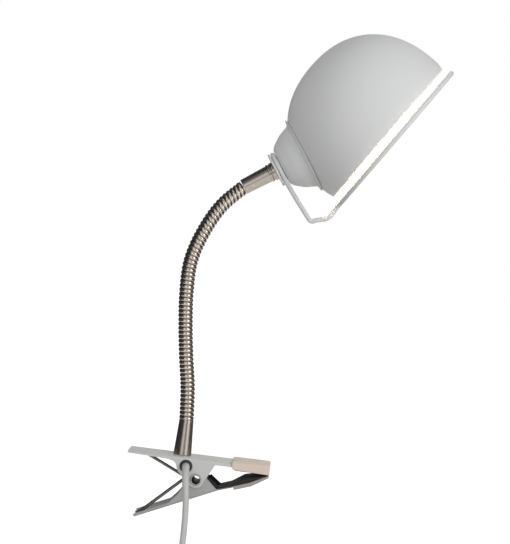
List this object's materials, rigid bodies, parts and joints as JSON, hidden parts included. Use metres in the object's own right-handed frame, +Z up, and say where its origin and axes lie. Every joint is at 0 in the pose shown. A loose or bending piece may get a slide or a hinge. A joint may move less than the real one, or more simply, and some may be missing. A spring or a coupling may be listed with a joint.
{
  "type": "clip on reading lamp",
  "caption": "Clip on reading lamp: spring clip with padded jaws, bendable gooseneck, lampholder cup, round dome shade with a wire guard, and a mains lead with switch and plug.",
  "frame": {"origin": "on the middle of the upper jaw's grip face, where the clip holds the edge of a shelf or headboard", "axes": "+X towards the jaw tips and the side that the shade leans to, +Y to the side away from the lead, +Z up along the neck"},
  "size_m": [0.207, 0.13, 0.6139],
  "materials": {
    "white_enamel": "satin",
    "head_enamel": "satin",
    "sleeve_vinyl": "matte",
    "grip_rubber": "matte",
    "black_rubber": "matte",
    "plated_steel": "polished",
    "spring_steel": "satin",
    "brushed_nickel": "brushed",
    "gooseneck_steel": "ribbed, satin",
    "brass_parts": "turned",
    "holder_plastic": "moulded",
    "bulb_glass": "clear, warm",
    "filament_wire": "drawn wire",
    "lead_pvc": "soft sheen",
    "white_plastic": "moulded"
  },
  "bodies": {
    "clip": {"upper_jaw": "white_enamel", "upper_tip_sleeve": "sleeve_vinyl", "upper_grip_pad": "grip_rubber", "pivot_tube": "plated_steel", "spring_upper_half": "spring_steel", "cord_grommet": "black_rubber", "base_ferrule": "brushed_nickel", "base_nipple": "brass_parts", "base_nut": "brass_parts", "base_lock_washer": "plated_steel", "neck_link_1": "gooseneck_steel", "strain_relief": "lead_pvc", "inner_lead": "lead_pvc", "mains_cord": "lead_pvc", "cord_drop": "lead_pvc", "cord_coil": "lead_pvc", "cord_tail": "lead_pvc", "cord_tie": "black_rubber", "switch_base": "white_plastic", "switch_cover": "white_plastic", "switch_contacts": "brass_parts", "switch_screws": "plated_steel", "plug_body": "white_plastic", "plug_pins": "plated_steel"},
    "lower_arm": {"lower_jaw": "white_enamel", "lower_tip_sleeve": "sleeve_vinyl", "lower_grip_liner": "grip_rubber", "spring_lower_half": "spring_steel"},
    "neck_2": {"neck_link_2": "gooseneck_steel"},
    "neck_3": {"neck_link_3": "gooseneck_steel"},
    "neck_4": {"neck_link_4": "gooseneck_steel"},
    "neck_5": {"neck_link_5": "gooseneck_steel"},
    "neck_6": {"neck_link_6": "gooseneck_steel"},
    "neck_7": {"neck_link_7": "gooseneck_steel"},
    "head": {"neck_link_8": "gooseneck_steel", "head_ferrule": "brushed_nickel", "head_nipple": "brass_parts", "neck_disc": "head_enamel", "guard_frame": "head_enamel", "holder_cup": "head_enamel", "lampholder_body": "holder_plastic", "holder_contacts": "brass_parts", "shade_ring": "holder_plastic", "shade_dome": "head_enamel", "bulb_glass": "bulb_glass", "bulb_cap": "plated_steel", "bulb_stem": "bulb_glass", "bulb_filament": "filament_wire"},
    "rocker": {"switch_rocker": "white_plastic"}
  },
  "joints": [
    {"name": "clip_hinge", "type": "hinge", "parent": "clip", "child": "lower_arm", "pos_m": [-0.043, 0, -0.01], "axis": [0, 1, 0], "range_deg": [0, 32], "stiffness_Nm_per_rad": 0.4, "springref_deg": -108.86},
    {"name": "neck_bend_1", "type": "hinge", "parent": "clip", "child": "neck_2", "pos_m": [-0.05726, 0, 0.05667], "axis": [0, 1, 0], "range_deg": [-15, 8]},
    {"name": "neck_swing_1", "type": "hinge", "parent": "neck_2", "child": "neck_3", "pos_m": [-0.0606, 0, 0.08043], "axis": [0.9909, 0, 0.1349], "range_deg": [-14, 14]},
    {"name": "neck_bend_2", "type": "hinge", "parent": "neck_3", "child": "neck_4", "pos_m": [-0.06373, 0, 0.10423], "axis": [0, 1, 0], "range_deg": [-15, 8]},
    {"name": "neck_swing_2", "type": "hinge", "parent": "neck_4", "child": "neck_5", "pos_m": [-0.06582, 0, 0.12814], "axis": [0.9995, 0, 0.0305], "range_deg": [-14, 14]},
    {"name": "neck_bend_3", "type": "hinge", "parent": "neck_5", "child": "neck_6", "pos_m": [-0.06519, 0, 0.15213], "axis": [0, 1, 0], "range_deg": [-15, 8]},
    {"name": "neck_swing_3", "type": "hinge", "parent": "neck_6", "child": "neck_7", "pos_m": [-0.05817, 0, 0.17508], "axis": [0.9272, 0, -0.3746], "range_deg": [-14, 14]},
    {"name": "neck_bend_4", "type": "hinge", "parent": "neck_7", "child": "head", "pos_m": [-0.04728, 0, 0.19646], "axis": [0, 1, 0], "range_deg": [-15, 8]},
    {"name": "switch_rock", "type": "hinge", "parent": "clip", "child": "rocker", "pos_m": [-0.046, -0.04, -0.104], "axis": [1, 0, 0], "range_deg": [-16, 0]}
  ]
}
